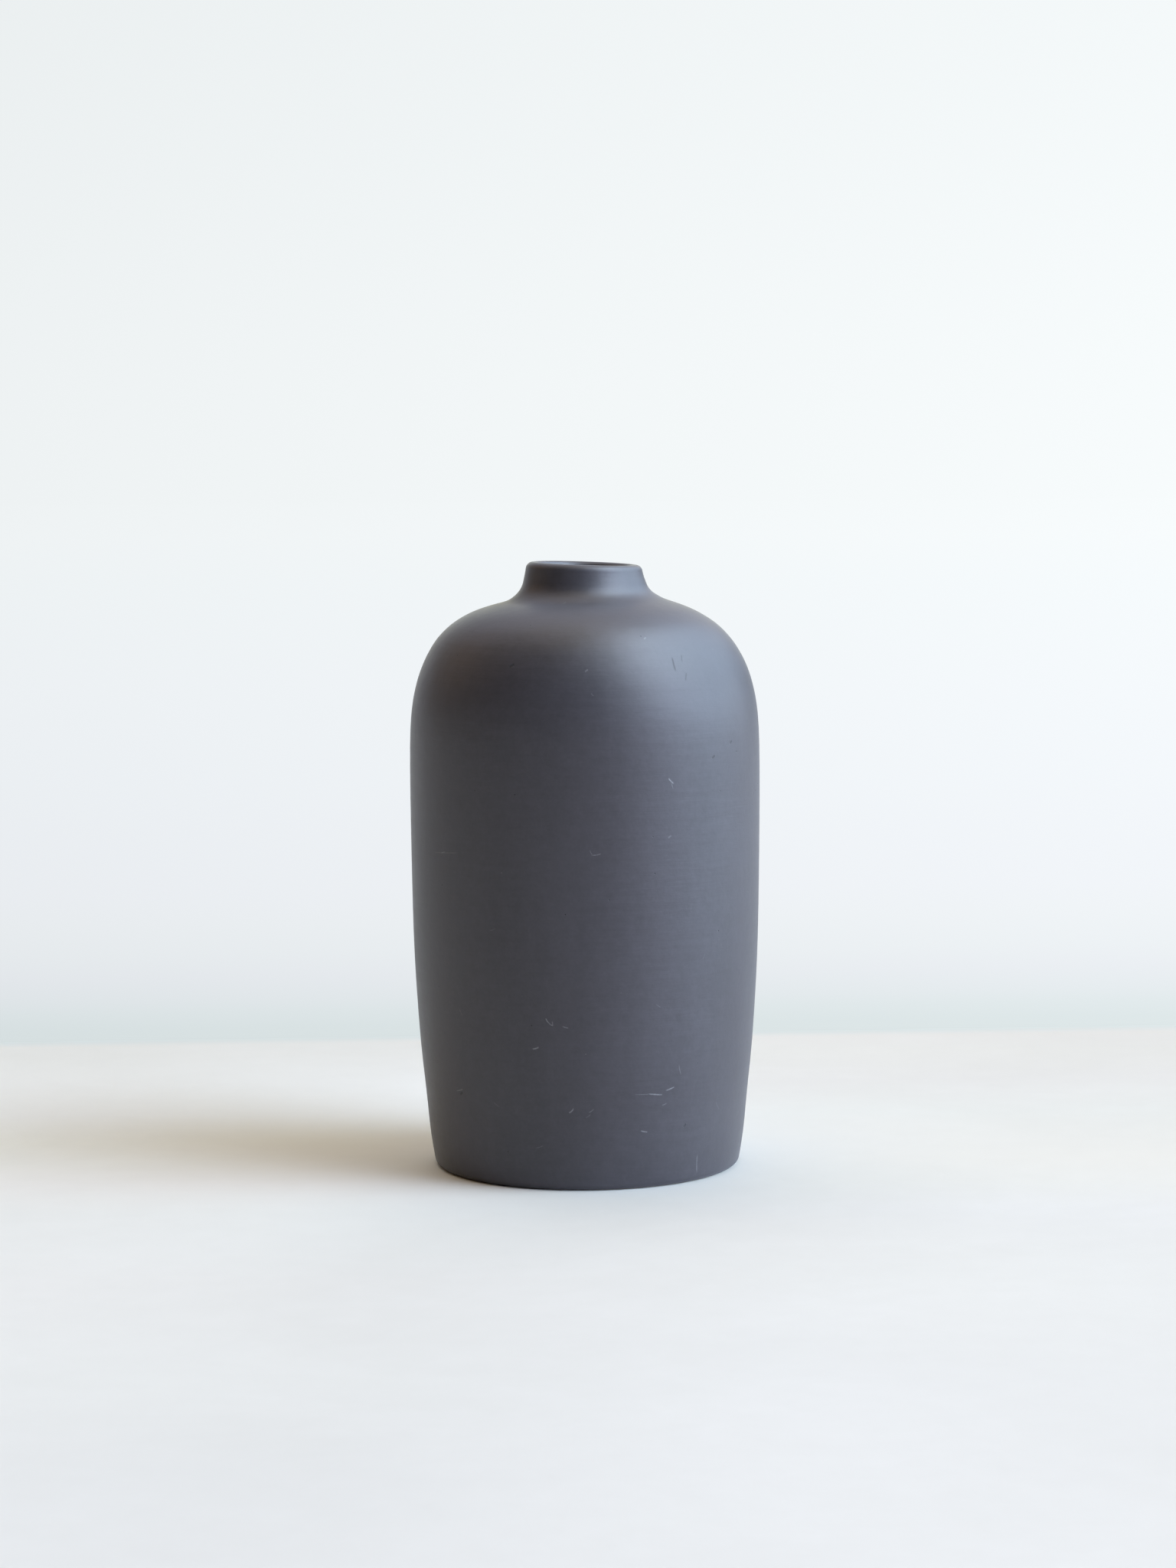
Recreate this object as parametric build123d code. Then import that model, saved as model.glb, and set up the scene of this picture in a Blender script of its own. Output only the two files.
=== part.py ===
from build123d import *
import math
import os

# Hand-made stoneware bottle vase: a wide, nearly straight body, a steep rounded shoulder and a short
# narrow neck. Millimetres, +Z up, origin on the foot plane at the middle of the foot.

# ---- driving dimensions -------------------------------------------------------------------------
HEIGHT = 250.0            # foot plane to the middle of the lip
GLAZE = 0.35              # satin coat on the outside, measured square to the wall
LINER = 0.30              # gloss coat on the inside
WALL = 5.4                # clay and both coats together, along the body
MOUTH_R = 18.5            # clear radius of the throat
LAND_LOW = 238.4          # the throat is a true cylinder from here up to the lip's inner rounding
LIP_OUT_R, LIP_IN_R = 2.5, 2.3      # roundings of the lip
FOOT_ROUND = 2.6          # rounding where the wall meets the foot plane
FLOOR_IN = 8.2            # height of the inside floor
RECESS_R, RECESS_DEPTH = 53.5, 2.4  # turned recess that leaves a foot ring
FOOT_LINE = 0.55          # the outer coat stops this far above the foot plane
MOUTH_LINE = 242.5        # the outer coat ends this far up, inside the throat
# The shoulder and the neck were pulled by hand, so their rings aren't level or quite central.
# At each height: the ring's shift along +X, and its turn about +Y in degrees.
RING_SHIFT = [(180, 0.0), (205, 0.0), (220, 0.12), (228, 0.18), (236, 0.18), (239, 0.30), (242, 0.28),
              (245, 0.14), (248, 0.16), (250, 0.30)]
RING_TURN = [(180, 0.0), (205, 0.0), (220, 0.40), (228, 0.22), (233, -0.35), (236, -1.05), (239, -0.40),
             (242, -0.08), (245, 0.35), (248, 1.55), (250, 2.2)]

# outside of the coat: (height, radius)
PROFILE = [(0, 63.1), (12, 65.1), (28, 66.73), (46, 68.6), (66, 70.12), (88, 71.29), (112, 71.92),
           (136, 72.25), (156, 72.41), (172, 72.36), (184, 71.97), (193, 71.04), (200, 69.6),
           (206, 67.76), (211, 65.61), (215.5, 63.13), (219.5, 60.28), (223, 57.01), (226, 53.37),
           (228.5, 49.41), (230.5, 45.47), (232.2, 41.17), (233.6, 36.85), (234.8, 32.99),
           (236, 30.53), (237.2, 28.8), (238.6, 27.31), (240.5, 26.04), (243, 25.14),
           (246.5, 24.26), (250, 23.79)]


# ---- helpers ------------------------------------------------------------------------------------
def natural_spline(points):
    """A function through (x, y) points: natural cubic spline."""
    xs = [float(p[0]) for p in points]
    ys = [float(p[1]) for p in points]
    n = len(xs)
    h = [xs[i + 1] - xs[i] for i in range(n - 1)]
    a, b, c, d = [0.0] * n, [1.0] * n, [0.0] * n, [0.0] * n
    for i in range(1, n - 1):
        a[i], b[i], c[i] = h[i - 1], 2 * (h[i - 1] + h[i]), h[i]
        d[i] = 6 * ((ys[i + 1] - ys[i]) / h[i] - (ys[i] - ys[i - 1]) / h[i - 1])
    for i in range(1, n):
        w = a[i] / b[i - 1]
        b[i] -= w * c[i - 1]
        d[i] -= w * d[i - 1]
    m = [0.0] * n
    m[-1] = d[-1] / b[-1]
    for i in range(n - 2, -1, -1):
        m[i] = (d[i] - c[i] * m[i + 1]) / b[i]

    def value(x):
        i = min(max(sum(1 for v in xs if v <= x) - 1, 0), n - 2)
        t0, t1 = xs[i + 1] - x, x - xs[i]
        return ((m[i] * t0 ** 3 + m[i + 1] * t1 ** 3) / (6 * h[i])
                + (ys[i] / h[i] - m[i] * h[i] / 6) * t0 + (ys[i + 1] / h[i] - m[i + 1] * h[i] / 6) * t1)

    return value


def eased(points):
    """A function through (x, y) points that turns smoothly and never overshoots them."""
    xs = [float(p[0]) for p in points]
    ys = [float(p[1]) for p in points]
    n = len(xs)
    h = [xs[i + 1] - xs[i] for i in range(n - 1)]
    s = [(ys[i + 1] - ys[i]) / h[i] for i in range(n - 1)]
    g = [0.0] * n
    for i in range(1, n - 1):
        if s[i - 1] * s[i] > 0:
            w0, w1 = 2 * h[i] + h[i - 1], h[i] + 2 * h[i - 1]
            g[i] = (w0 + w1) / (w0 / s[i - 1] + w1 / s[i])
    g[-1] = s[-1]

    def value(x):
        if x <= xs[0]:
            return ys[0]
        if x >= xs[-1]:
            return ys[-1]
        i = sum(1 for v in xs if v <= x) - 1
        u = (x - xs[i]) / h[i]
        return (ys[i] * (1 + 2 * u) * (1 - u) ** 2 + g[i] * h[i] * u * (1 - u) ** 2
                + ys[i + 1] * u * u * (3 - 2 * u) + g[i + 1] * h[i] * u * u * (u - 1))

    return value


outside = natural_spline(PROFILE)
shift = eased(RING_SHIFT)
turn = eased(RING_TURN)


def offset_point(z, t):
    """The point t inside the outer surface, square to it: (radius, height)."""
    e = 0.05
    dr = (outside(min(z + e, HEIGHT)) - outside(max(z - e, 0))) / (min(z + e, HEIGHT) - max(z - e, 0))
    k = math.hypot(1.0, dr)
    return outside(z) - t / k, z + t * dr / k


def ring(radius, height):
    """A ring of the outside, in two halves: level in the body, slightly tipped in the shoulder and neck."""
    a = math.radians(turn(height))
    at = Plane(origin=(shift(height), 0, height), x_dir=(math.cos(a), 0, -math.sin(a)),
               z_dir=(math.sin(a), 0, math.cos(a)))
    halves = [Edge.make_circle(radius, at, start_angle=u, end_angle=u + 180) for u in (0, 180)]
    return Wire(halves)


def lofted(t, foot, lip):
    """The solid bounded by the surface t inside the outer one, with its foot and lip rounded."""
    top = HEIGHT - t
    rings = []
    for k in range(0, 7):                      # the foot's rounding, from the foot plane up
        a = math.radians(90 * (1 - k / 6))
        z = foot - foot * math.sin(a)
        rings.append(ring(offset_point(z, t)[0] - foot + foot * math.cos(a), z))
    for z in (6, 14, 24, 36, 48, 60, 74, 88, 102, 116, 130, 144, 156, 166, 175, 183, 190, 196, 201.5,
              206, 210, 213.5, 217, 220, 222.8, 225.4, 227.6, 229.6, 231.3, 232.8, 234.1, 235.3,
              236.5, 237.8, 239.3, 241.2, 243.2, 245.2):
        rings.append(ring(*offset_point(z, t)))
    for k in range(0, 7):                      # the lip's outer rounding, up to its flat
        a = math.radians(90 * k / 6)
        z = top - lip + lip * math.sin(a)
        rings.append(ring(outside(z) - t - lip + lip * math.cos(a), z))
    return Solid.make_loft(rings)


def hollow(t):
    """The space inside the vase, out to t from the gloss surface of the liner, and on past the lip."""
    wall = WALL - t
    side = []
    for z in (26, 36, 48, 60, 74, 88, 102, 116, 130, 144, 156, 166, 175, 183, 190, 196, 201.5, 206, 210,
              213.5, 217, 220, 223, 226, 228.5, 230.3):
        side.append(offset_point(z, wall))
    floor = FLOOR_IN - t
    foot_r = side[0][0]
    floor_curve = [(foot_r - 1.3, 19.6), (foot_r - 4.6, 13.6 - t * 0.5), (foot_r - 11.0, 9.9 - t * 0.8),
                   (foot_r - 21.0, floor)]
    throat = [(MOUTH_R + t + 11.2, 231.0 + t), (MOUTH_R + t + 5.2, 233.2 + t),
              (MOUTH_R + t + 1.35, 235.7 + t * 0.6)]
    pts = [(r, 0, h) for r, h in [*reversed(floor_curve), *side, *throat, (MOUTH_R + t, LAND_LOW)]]
    curve = Spline(*pts, tangents=[(1, 0, 0), (0, 0, 1)])
    top = HEIGHT + 20
    outline = [Line((0, 0, floor), pts[0]), curve, Line(pts[-1], (MOUTH_R + t, 0, top)),
               Line((MOUTH_R + t, 0, top), (0, 0, top)), Line((0, 0, top), (0, 0, floor))]
    return revolve(make_face(Wire(outline)), Axis.Z)


def plane_box(z0, z1, half=120):
    """A slab from z0 to z1."""
    return Pos(0, 0, (z0 + z1) / 2) * Box(2 * half, 2 * half, z1 - z0)


def inner_lip(solid, radius):
    """Rounds the edge between the throat and the flat of the lip."""
    edge = [e for e in solid.edges() if e.center().Z > HEIGHT - 3 and abs(e.length / math.tau - MOUTH_R) < 0.6]
    return fillet(edge, radius)


# ---- clay ---------------------------------------------------------------------------------------
clay_hollow = hollow(LINER)
glaze_hollow = hollow(0.0)

clay = inner_lip(lofted(GLAZE, FOOT_ROUND - GLAZE, LIP_OUT_R - GLAZE) - clay_hollow, LIP_IN_R - LINER)

recess = revolve(make_face(Wire([
    Line((0, 0, -1), (0, 0, RECESS_DEPTH)),
    Line((0, 0, RECESS_DEPTH), (RECESS_R - 4.5, 0, RECESS_DEPTH)),
    Spline((RECESS_R - 4.5, 0, RECESS_DEPTH), (RECESS_R - 2.1, 0, RECESS_DEPTH * 0.55),
           (RECESS_R, 0, 0), tangents=[(1, 0, 0), (1, 0, -0.8)]),
    Line((RECESS_R, 0, 0), (RECESS_R, 0, -1)),
    Line((RECESS_R, 0, -1), (0, 0, -1)),
])), Axis.Z)

# The floor, foot ring, wall, shoulder, neck and lip are one fired piece.
stoneware_body = clay - recess

# ---- coats --------------------------------------------------------------------------------------
# The liner fills the gap between the clay's hollow and the gloss surface, up to a line in the throat.
liner_glaze = (clay_hollow - glaze_hollow) - plane_box(MOUTH_LINE, HEIGHT + 60)


def plugged(t, hole):
    """The vase as if it were solid, with only the throat above the liner's line open."""
    throat = Pos(0, 0, MOUTH_LINE + 15) * Cylinder(MOUTH_R + hole, 30)
    block = lofted(t, FOOT_ROUND - t, LIP_OUT_R - t) - throat
    return inner_lip(block, LIP_IN_R - hole)


# The outer coat covers the wall, the shoulder, the neck and the lip, and ends inside the throat.
outer_glaze = (plugged(0.0, 0.0) - plane_box(-5, FOOT_LINE)) - plugged(GLAZE, LINER)

# A wiped coat on the roof of the recess.
base_glaze = Pos(0, 0, RECESS_DEPTH - 0.125) * Cylinder(RECESS_R - 5.6, 0.25)

NODES = {"stoneware_body": stoneware_body, "outer_glaze": outer_glaze, "liner_glaze": liner_glaze,
         "base_glaze": base_glaze}

os.makedirs("parts", exist_ok=True)
for name, shape in NODES.items():
    solids = shape.solids()
    print(name, len(solids), [round(s.volume, 1) for s in solids], shape.bounding_box())
    export_step(shape, f"parts/{name}.step")
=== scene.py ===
import math

import bpy
import numpy as np
from mathutils import Matrix, Vector


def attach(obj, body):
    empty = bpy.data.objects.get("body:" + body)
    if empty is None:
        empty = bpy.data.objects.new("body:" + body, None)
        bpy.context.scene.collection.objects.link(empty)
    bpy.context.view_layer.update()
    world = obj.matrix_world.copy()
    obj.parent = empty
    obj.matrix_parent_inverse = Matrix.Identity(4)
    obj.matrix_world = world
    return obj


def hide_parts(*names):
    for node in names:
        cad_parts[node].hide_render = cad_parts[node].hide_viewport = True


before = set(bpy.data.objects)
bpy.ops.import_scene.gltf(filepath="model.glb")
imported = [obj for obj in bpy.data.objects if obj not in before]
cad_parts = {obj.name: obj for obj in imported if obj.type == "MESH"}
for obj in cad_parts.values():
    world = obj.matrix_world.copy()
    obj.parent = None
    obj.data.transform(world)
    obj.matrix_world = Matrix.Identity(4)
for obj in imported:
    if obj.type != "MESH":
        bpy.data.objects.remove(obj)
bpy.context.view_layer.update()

MM = 0.001
SEED = 7

# ------------------------------------------------------------------------------------------------
# The vase's own measures, in millimetres: the same numbers as in part.py.
HEIGHT = 250.0
GLAZE = 0.35
LINER = 0.30
WALL = 5.4
MOUTH_R = 18.5
LAND_LOW = 238.4
LIP_OUT_R, LIP_IN_R = 2.5, 2.3
FOOT_ROUND = 2.6
FLOOR_IN = 8.2
RECESS_R, RECESS_DEPTH = 53.5, 2.4
FOOT_LINE = 0.55
MOUTH_LINE = 242.5
RING_SHIFT = [(180, 0.0), (205, 0.0), (220, 0.12), (228, 0.18), (236, 0.18), (239, 0.30), (242, 0.28),
              (245, 0.14), (248, 0.16), (250, 0.30)]
RING_TURN = [(180, 0.0), (205, 0.0), (220, 0.40), (228, 0.22), (233, -0.35), (236, -1.05), (239, -0.40),
             (242, -0.08), (245, 0.35), (248, 1.55), (250, 2.2)]
PROFILE = [(0, 63.1), (12, 65.1), (28, 66.73), (46, 68.6), (66, 70.12), (88, 71.29), (112, 71.92),
           (136, 72.25), (156, 72.41), (172, 72.36), (184, 71.97), (193, 71.04), (200, 69.6),
           (206, 67.76), (211, 65.61), (215.5, 63.13), (219.5, 60.28), (223, 57.01), (226, 53.37),
           (228.5, 49.41), (230.5, 45.47), (232.2, 41.17), (233.6, 36.85), (234.8, 32.99),
           (236, 30.53), (237.2, 28.8), (238.6, 27.31), (240.5, 26.04), (243, 25.14),
           (246.5, 24.26), (250, 23.79)]


def natural_spline(points):
    xs = np.array([p[0] for p in points], float)
    ys = np.array([p[1] for p in points], float)
    n = len(xs)
    h = np.diff(xs)
    A = np.zeros((n, n))
    d = np.zeros(n)
    A[0, 0] = A[-1, -1] = 1
    for i in range(1, n - 1):
        A[i, i - 1], A[i, i], A[i, i + 1] = h[i - 1], 2 * (h[i - 1] + h[i]), h[i]
        d[i] = 6 * ((ys[i + 1] - ys[i]) / h[i] - (ys[i] - ys[i - 1]) / h[i - 1])
    m = np.linalg.solve(A, d)

    def value(x):
        x = np.asarray(x, float)
        i = np.clip(np.searchsorted(xs, x, side="right") - 1, 0, n - 2)
        t0, t1 = xs[i + 1] - x, x - xs[i]
        return ((m[i] * t0 ** 3 + m[i + 1] * t1 ** 3) / (6 * h[i])
                + (ys[i] / h[i] - m[i] * h[i] / 6) * t0 + (ys[i + 1] / h[i] - m[i + 1] * h[i] / 6) * t1)

    return value


def eased(points):
    xs = np.array([p[0] for p in points], float)
    ys = np.array([p[1] for p in points], float)
    n = len(xs)
    h = np.diff(xs)
    s = np.diff(ys) / h
    g = np.zeros(n)
    for i in range(1, n - 1):
        if s[i - 1] * s[i] > 0:
            w0, w1 = 2 * h[i] + h[i - 1], h[i] + 2 * h[i - 1]
            g[i] = (w0 + w1) / (w0 / s[i - 1] + w1 / s[i])
    g[-1] = s[-1]

    def value(x):
        x = np.clip(np.asarray(x, float), xs[0], xs[-1])
        i = np.clip(np.searchsorted(xs, x, side="right") - 1, 0, n - 2)
        u = (x - xs[i]) / h[i]
        return (ys[i] * (1 + 2 * u) * (1 - u) ** 2 + g[i] * h[i] * u * (1 - u) ** 2
                + ys[i + 1] * u * u * (3 - 2 * u) + g[i + 1] * h[i] * u * u * (u - 1))

    return value


outside = natural_spline(PROFILE)
shift = eased(RING_SHIFT)
turn = eased(RING_TURN)


def offset_point(z, t):
    """The point t inside the outer surface, square to it: (radius, height)."""
    z = np.asarray(z, float)
    lo, hi = np.maximum(z - 0.05, 0), np.minimum(z + 0.05, HEIGHT)
    dr = (outside(hi) - outside(lo)) / (hi - lo)
    k = np.sqrt(1 + dr * dr)
    return outside(z) - t / k, z + t * dr / k


# ------------------------------------------------------------------------------------------------
# Rings. A ring is an (N, 3) array of points in millimetres, one for each azimuth.
N = 360
PHI = np.arange(N) * 2 * math.pi / N
COS, SIN = np.cos(PHI), np.sin(PHI)


def outer_ring(radius, height):
    """A ring of the outside, slightly tipped in the shoulder and the neck. radius may vary by azimuth."""
    a = math.radians(float(turn(height)))
    c = float(shift(height))
    r = radius * np.ones(N)
    return np.stack([c + r * COS * math.cos(a), r * SIN, height - r * COS * math.sin(a)], 1)


def level_ring(radius, height):
    r = radius * np.ones(N)
    return np.stack([r * COS, r * SIN, height * np.ones(N)], 1)


def smooth_noise(rng, n_modes, zmax, decay=1.0):
    """A low, smooth function of azimuth and height, periodic in azimuth."""
    terms = [(int(rng.integers(0, 5)), rng.uniform(0.3, 3.2), rng.uniform(0, 2 * math.pi),
              rng.uniform(0, 2 * math.pi), rng.normal()) for _ in range(n_modes)]

    def value(z):
        total = np.zeros(N)
        for m, kz, p, q, a in terms:
            total += a / (1 + decay * (m + kz)) * np.cos(m * PHI + p) * math.cos(kz * 2 * math.pi * z / zmax + q)
        return total / math.sqrt(n_modes)

    return value


rng = np.random.default_rng(SEED)
wobble = smooth_noise(rng, 26, 250.0, 0.4)
ripple_phase = rng.uniform(0, 6.28, 6)


def hand_wobble(z):
    """How far the hand-finished wall leaves the true ring, in mm. It fades out at the foot and the lip."""
    fade = min(1.0, z / 18.0) * min(1.0, max(0.0, (249.0 - z) / 22.0))
    low = 0.055 * wobble(z)
    rings = 0.010 * (math.sin(z * 2 * math.pi / 7.3 + ripple_phase[0]) + 0.7 * math.sin(z * 2 * math.pi / 4.1 + ripple_phase[1]))
    return (low + rings) * fade


def rim_plane_z(x):
    """Height of the flat of the lip at x."""
    a = math.radians(float(turn(HEIGHT)))
    return HEIGHT - (x - float(shift(HEIGHT))) * math.tan(a)


def inner_lip_rings(radius, rounding, drop, steps):
    """The rounding between the upright throat and the tipped flat of the lip, from the flat down."""
    slope = -math.tan(math.radians(float(turn(HEIGHT)))) * COS        # the flat's slope along each radius
    k = np.sqrt(1 + slope * slope)
    rc = (radius + rounding) * np.ones(N)
    zc = rim_plane_z(rc * COS) - drop - rounding * k
    top = np.arctan2(np.ones(N), -slope)                              # the flat's normal in the radial plane
    rings = []
    for j in range(steps + 1):
        ang = top + (math.pi - top) * j / steps
        r = rc + rounding * np.cos(ang)
        z = zc + rounding * np.sin(ang)
        rings.append(np.stack([r * COS, r * SIN, z], 1))
    return rings


def outer_rings(t, z_list, foot_steps, lip_steps, bottom, wobbly):
    """Rings of the surface t inside the outer one, from the foot line up to the flat of the lip."""
    foot, lip, top = FOOT_ROUND - t, LIP_OUT_R - t, HEIGHT - t
    rings = []
    a0 = math.asin(1 - bottom / foot)
    for k in range(foot_steps + 1):
        a = a0 * (1 - k / foot_steps)
        z = foot - foot * math.sin(a)
        r = float(offset_point(z, t)[0]) - foot + foot * math.cos(a)
        rings.append(outer_ring(r + wobbly * hand_wobble(z), z))
    for z in z_list:
        r, h = offset_point(z, t)
        rings.append(outer_ring(float(r) + wobbly * hand_wobble(float(h)), float(h)))
    for k in range(lip_steps + 1):
        a = 0.5 * math.pi * k / lip_steps
        z = top - lip + lip * math.sin(a)
        r = float(outside(z)) - t - lip + lip * math.cos(a)
        rings.append(outer_ring(r, z))
    return rings


def spline_rz(points, t0, t1, n):
    """n points along a C2 curve through (radius, height) points with end directions t0 and t1."""
    P = np.array(points, float)
    d = np.concatenate([[0], np.cumsum(np.hypot(*np.diff(P, axis=0).T))])
    m = len(P)
    A = np.zeros((m, m))
    B = np.zeros((m, 2))
    h = np.diff(d)
    A[0, 0] = A[-1, -1] = 1
    B[0], B[-1] = t0, t1
    for i in range(1, m - 1):
        A[i, i - 1], A[i, i], A[i, i + 1] = 1 / h[i - 1], 2 / h[i - 1] + 2 / h[i], 1 / h[i]
        B[i] = 3 * ((P[i] - P[i - 1]) / h[i - 1] ** 2 + (P[i + 1] - P[i]) / h[i] ** 2)
    T = np.linalg.solve(A, B)
    s = np.linspace(0, d[-1], n)
    i = np.clip(np.searchsorted(d, s, side="right") - 1, 0, m - 2)
    u = ((s - d[i]) / h[i])[:, None]
    hh = h[i][:, None]
    return (P[i] * (1 + 2 * u) * (1 - u) ** 2 + T[i] * hh * u * (1 - u) ** 2
            + P[i + 1] * u * u * (3 - 2 * u) + T[i + 1] * hh * u * u * (u - 1))


def hollow_curve(t, n):
    """The inside's meridian from the middle of the floor up to the bottom of the throat."""
    wall = WALL - t
    side = [tuple(float(v) for v in offset_point(z, wall)) for z in
            (26, 36, 48, 60, 74, 88, 102, 116, 130, 144, 156, 166, 175, 183, 190, 196, 201.5, 206, 210,
             213.5, 217, 220, 223, 226, 228.5, 230.3)]
    floor = FLOOR_IN - t
    foot_r = side[0][0]
    low = [(foot_r - 21.0, floor), (foot_r - 11.0, 9.9 - t * 0.8), (foot_r - 4.6, 13.6 - t * 0.5),
           (foot_r - 1.3, 19.6)]
    throat = [(MOUTH_R + t + 11.2, 231.0 + t), (MOUTH_R + t + 5.2, 233.2 + t),
              (MOUTH_R + t + 1.35, 235.7 + t * 0.6)]
    return spline_rz([*low, *side, *throat, (MOUTH_R + t, LAND_LOW)], (1, 0), (0, 1), n)


# ------------------------------------------------------------------------------------------------
# Meshes from rings
def make_mesh(name, rings, closed_loop=False, start_pole=None, end_pole=None, uv_arc=None):
    """A closed mesh from a chain of rings. A pole is a point that closes an end with a fan.
    The UV map holds metres: along the girth of a 72 mm radius in u, and along the chain in v."""
    rings = [np.asarray(r) for r in rings]
    nr = len(rings)
    verts = np.concatenate(rings) * MM
    verts = [tuple(v) for v in verts]
    arc = [0.0]
    for a, b in zip(rings, rings[1:]):
        arc.append(arc[-1] + float(np.linalg.norm((b - a)[::30], axis=1).mean()) * MM)
    girth = 2 * math.pi * 0.072
    faces, uvs = [], []
    spans = nr if closed_loop else nr - 1
    for i in range(spans):
        j = (i + 1) % nr
        vj = arc[j] if j else arc[i] + 0.001
        for k in range(N):
            k2 = (k + 1) % N
            faces.append((i * N + k, i * N + k2, j * N + k2, j * N + k))
            u0, u1 = girth * k / N, girth * (k + 1) / N
            uvs += [(u0, arc[i]), (u1, arc[i]), (u1, vj), (u0, vj)]
    for pole, i, flip in ((start_pole, 0, True), (end_pole, nr - 1, False)):
        if pole is None:
            continue
        p = len(verts)
        verts.append(tuple(np.asarray(pole, float) * MM))
        for k in range(N):
            k2 = (k + 1) % N
            u0, u1 = girth * k / N, girth * (k + 1) / N
            um = (u0 + u1) / 2
            vp = arc[i] + (-0.02 if flip else 0.02)
            if flip:
                faces.append((i * N + k2, i * N + k, p))
                uvs += [(u1, arc[i]), (u0, arc[i]), (um, vp)]
            else:
                faces.append((i * N + k, i * N + k2, p))
                uvs += [(u0, arc[i]), (u1, arc[i]), (um, vp)]
    mesh = bpy.data.meshes.new(name)
    mesh.from_pydata(verts, [], faces)
    mesh.validate()
    layer = mesh.uv_layers.new(name="UVMap")
    if len(layer.data) == len(uvs):
        layer.data.foreach_set("uv", np.array(uvs, np.float32).ravel())
    mesh.polygons.foreach_set("use_smooth", [True] * len(mesh.polygons))
    mesh.update()
    ob = bpy.data.objects.new(name, mesh)
    bpy.context.scene.collection.objects.link(ob)
    return ob


def signed_volume(ob):
    me = ob.data
    me.calc_loop_triangles()
    co = np.zeros(len(me.vertices) * 3)
    me.vertices.foreach_get("co", co)
    co = co.reshape(-1, 3)
    tri = np.zeros(len(me.loop_triangles) * 3, int)
    me.loop_triangles.foreach_get("vertices", tri)
    a, b, c = (co[tri.reshape(-1, 3)[:, i]] for i in range(3))
    return float(np.einsum("ij,ij->i", a, np.cross(b, c)).sum() / 6)


def face_out(ob):
    if signed_volume(ob) < 0:
        ob.data.flip_normals()
        ob.data.update()
    return ob


def crease_by_angle(ob, degrees):
    """Marks sharp edges where the surface really turns a corner."""
    me = ob.data
    import bmesh
    bm = bmesh.new()
    bm.from_mesh(me)
    lim = math.radians(degrees)
    for e in bm.edges:
        if len(e.link_faces) == 2 and e.calc_face_angle(0) > lim:
            e.smooth = False
    bm.to_mesh(me)
    bm.free()
    me.update()


def body_heights(step_low, step_mid, step_high):
    """Heights for rings: closer together where the profile bends more."""
    zs = []
    z = FOOT_ROUND + 0.9
    while z < HEIGHT - LIP_OUT_R - 0.35:
        zs.append(z)
        if z < 12:
            z += step_low * 0.6
        elif z < 176:
            z += step_low
        elif z < 214:
            z += step_mid
        elif z < 229:
            z += step_mid * 0.55
        else:
            z += step_high
    return zs


# The outer coat: a closed skin from the foot line, over the lip, to a line inside the throat.
shown = outer_rings(0.0, body_heights(3.0, 1.5, 0.42), 8, 9, FOOT_LINE, 1.0)
shown += inner_lip_rings(MOUTH_R, LIP_IN_R, 0.0, 9)
z_throat = np.linspace(245.6, MOUTH_LINE, 6)
shown += [level_ring(MOUTH_R, z) for z in z_throat]
hidden = [level_ring(MOUTH_R + LINER, z) for z in (MOUTH_LINE, 245.6)]
hidden += inner_lip_rings(MOUTH_R + LINER, LIP_IN_R - LINER, GLAZE, 5)[::-1]
hidden += outer_rings(GLAZE, body_heights(7.0, 3.0, 0.9), 4, 5, FOOT_LINE, 1.0)[::-1]
outer_glaze = face_out(make_mesh("outer_glaze_coat", shown + hidden, closed_loop=True))

# The clay: foot ring and recess, the wall under the coat, the lip under the coat, and the hollow.
ring_in = spline_rz([(RECESS_R - 4.5, RECESS_DEPTH), (RECESS_R - 2.1, RECESS_DEPTH * 0.55), (RECESS_R, 0.0)],
                    (1, 0), (0.78, -0.62), 14)
under = [level_ring(r, RECESS_DEPTH) for r in (1.0, 6.0, 14.0, 24.0, 34.0, 42.0, 47.0)]
under += [level_ring(r, z) for r, z in ring_in]
foot_flat_r = float(offset_point(0, GLAZE)[0]) - (FOOT_ROUND - GLAZE)
under += [level_ring(r, 0.0) for r in np.linspace(RECESS_R + 0.4, foot_flat_r - 0.3, 7)]
clay_out = outer_rings(GLAZE, body_heights(7.0, 3.0, 0.9), 8, 5, 0.0, 1.0)
clay_lip = inner_lip_rings(MOUTH_R + LINER, LIP_IN_R - LINER, GLAZE, 5)
clay_land = [level_ring(MOUTH_R + LINER, z) for z in (245.6, MOUTH_LINE, 240.4)]
clay_in = [level_ring(r, z) for r, z in hollow_curve(LINER, 90)[::-1]]
clay_floor = [level_ring(r, FLOOR_IN - LINER) for r in (32.0, 22.0, 12.0, 4.0)]
stoneware = face_out(make_mesh("stoneware_body_clay", under + clay_out + clay_lip + clay_land + clay_in + clay_floor,
                               start_pole=(0, 0, RECESS_DEPTH), end_pole=(0, 0, FLOOR_IN - LINER)))

# The liner: the gloss skin of the hollow, with the soft rings that the thrower's fingers left.
in_rng = np.random.default_rng(SEED + 4)
in_phase = in_rng.uniform(0, 6.28, 4)


def throwing_rings(z):
    fade = min(1.0, max(0.0, (z - 14) / 14.0)) * min(1.0, max(0.0, (240.0 - z) / 8.0))
    spiral = np.sin((z / 8.5 + PHI / (2 * math.pi)) * 2 * math.pi + in_phase[0])
    return 0.11 * fade * (spiral + 0.35 * np.sin(PHI * 2 + in_phase[1] + z / 19.0))


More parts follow.
